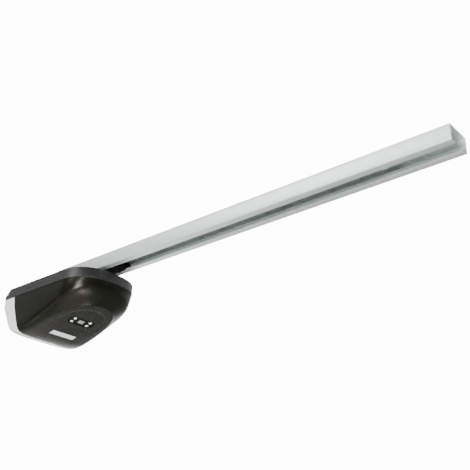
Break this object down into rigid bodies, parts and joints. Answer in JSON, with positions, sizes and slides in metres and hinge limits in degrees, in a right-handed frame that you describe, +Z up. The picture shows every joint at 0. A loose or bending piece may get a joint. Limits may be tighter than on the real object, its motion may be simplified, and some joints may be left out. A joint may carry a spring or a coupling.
{
  "type": "garage door opener",
  "caption": "Ceiling-hung garage door opener: a hull-shaped drive head under a C-section rail, with a belt-drawn carriage, a keypad and a rear lamp lens.",
  "frame": {"origin": "on the top face of the rail, on its centre line, straight above the output shaft", "axes": "+X along the rail from the drive head towards the door, +Y across the rail, +Z up to the ceiling"},
  "size_m": [1.035, 0.17, 0.1482],
  "materials": {
    "galvanised": "bright zinc-coated sheet steel with a soft grain along the rail",
    "steel": "plain turned or pressed steel",
    "aluminium": "die-cast, bead-blasted",
    "bronze": "sintered bronze, dull",
    "housing": "dark grey moulded plastic, fine texture",
    "cover": "near-black grey moulded plastic, satin",
    "black": "black moulded plastic",
    "lens": "milky translucent plastic",
    "display": "pale grey display window",
    "white": "white moulded plastic",
    "label": "blank white film",
    "board": "green circuit board",
    "copper": "enamelled copper winding",
    "rubber": "black toothed belt",
    "gear": "natural nylon",
    "bulb": "frosted bulb"
  },
  "bodies": {
    "root": {"rail": "galvanised", "base_plate": "galvanised", "tension_fork": "galvanised", "tension_anchor": "galvanised", "rail_bolt_1": "steel", "rail_bolt_2": "steel", "rail_bolt_3": "steel", "rail_bolt_4": "steel", "cover_screw_1": "steel", "cover_screw_2": "steel", "cover_screw_3": "steel", "cover_screw_4": "steel", "motor_can": "steel", "idler_axle": "steel", "anchor_screw_1": "steel", "anchor_screw_2": "steel", "tension_screw": "steel", "tension_nut": "steel", "transformer_core": "steel", "rail_saddle": "aluminium", "gearbox_case": "aluminium", "gearbox_lid": "aluminium", "upper_bush": "bronze", "lower_bush": "bronze", "upper_housing": "housing", "lower_cover": "cover", "cable_gland": "black", "motor_end_cap": "black", "relay_open": "black", "relay_close": "black", "board_capacitor": "black", "display_module": "black", "keypad_bezel": "black", "lamp_lens": "lens", "display_window": "display", "lamp_reflector": "white", "lamp_socket": "white", "rating_label": "label", "control_board": "board", "terminal_block": "board", "switch_board": "board", "transformer_coil": "copper", "drive_belt": "rubber", "lamp_bulb": "bulb"},
    "carriage": {"carriage_body": "black", "carriage_glide_left": "white", "carriage_glide_right": "white", "belt_clamp": "black"},
    "release": {"release_plunger": "black"},
    "drive": {"output_shaft": "steel", "drive_pulley": "steel", "worm_wheel": "gear"},
    "rotor": {"motor_shaft": "steel", "worm": "steel"},
    "idler": {"idler_pulley": "white", "idler_bearing": "steel"},
    "button_front_left_body": {"button_front_left": "white"},
    "button_front_right_body": {"button_front_right": "white"},
    "button_rear_left_body": {"button_rear_left": "white"},
    "button_rear_right_body": {"button_rear_right": "white"}
  },
  "joints": [
    {"name": "carriage_slide", "type": "slide", "parent": "root", "child": "carriage", "axis": [1, 0, 0], "range_m": [0, 0.58]},
    {"name": "release_pull", "type": "slide", "parent": "carriage", "child": "release", "axis": [0, 0, 1], "range_m": [-0.004, 0], "stiffness_N_per_m": 400},
    {"name": "drive_spin", "type": "hinge", "parent": "root", "child": "drive", "pos_m": [0, 0, -0.07], "axis": [0, 0, 1], "range_deg": [-10, 2620]},
    {"name": "motor_spin", "type": "hinge", "parent": "root", "child": "rotor", "pos_m": [0, -0.0295, -0.072], "axis": [1, 0, 0], "range_deg": [-78400, 100]},
    {"name": "idler_spin", "type": "hinge", "parent": "root", "child": "idler", "pos_m": [0.74, 0, -0.0083], "axis": [0, 0, 1], "range_deg": [-10, 2620]},
    {"name": "button_front_left_press", "type": "slide", "parent": "root", "child": "button_front_left_body", "axis": [-0.2466, 0, 0.9691], "range_m": [0, 0.0008], "stiffness_N_per_m": 300},
    {"name": "button_front_right_press", "type": "slide", "parent": "root", "child": "button_front_right_body", "axis": [-0.2466, 0, 0.9691], "range_m": [0, 0.0008], "stiffness_N_per_m": 300},
    {"name": "button_rear_left_press", "type": "slide", "parent": "root", "child": "button_rear_left_body", "axis": [-0.2466, 0, 0.9691], "range_m": [0, 0.0008], "stiffness_N_per_m": 300},
    {"name": "button_rear_right_press", "type": "slide", "parent": "root", "child": "button_rear_right_body", "axis": [-0.2466, 0, 0.9691], "range_m": [0, 0.0008], "stiffness_N_per_m": 300}
  ],
  "couplings": [
    {"joint": "drive_spin", "follows": "carriage_slide", "rad_per_m": 78.54},
    {"joint": "idler_spin", "follows": "carriage_slide", "rad_per_m": 78.54},
    {"joint": "motor_spin", "follows": "carriage_slide", "rad_per_m": -2356.2}
  ]
}
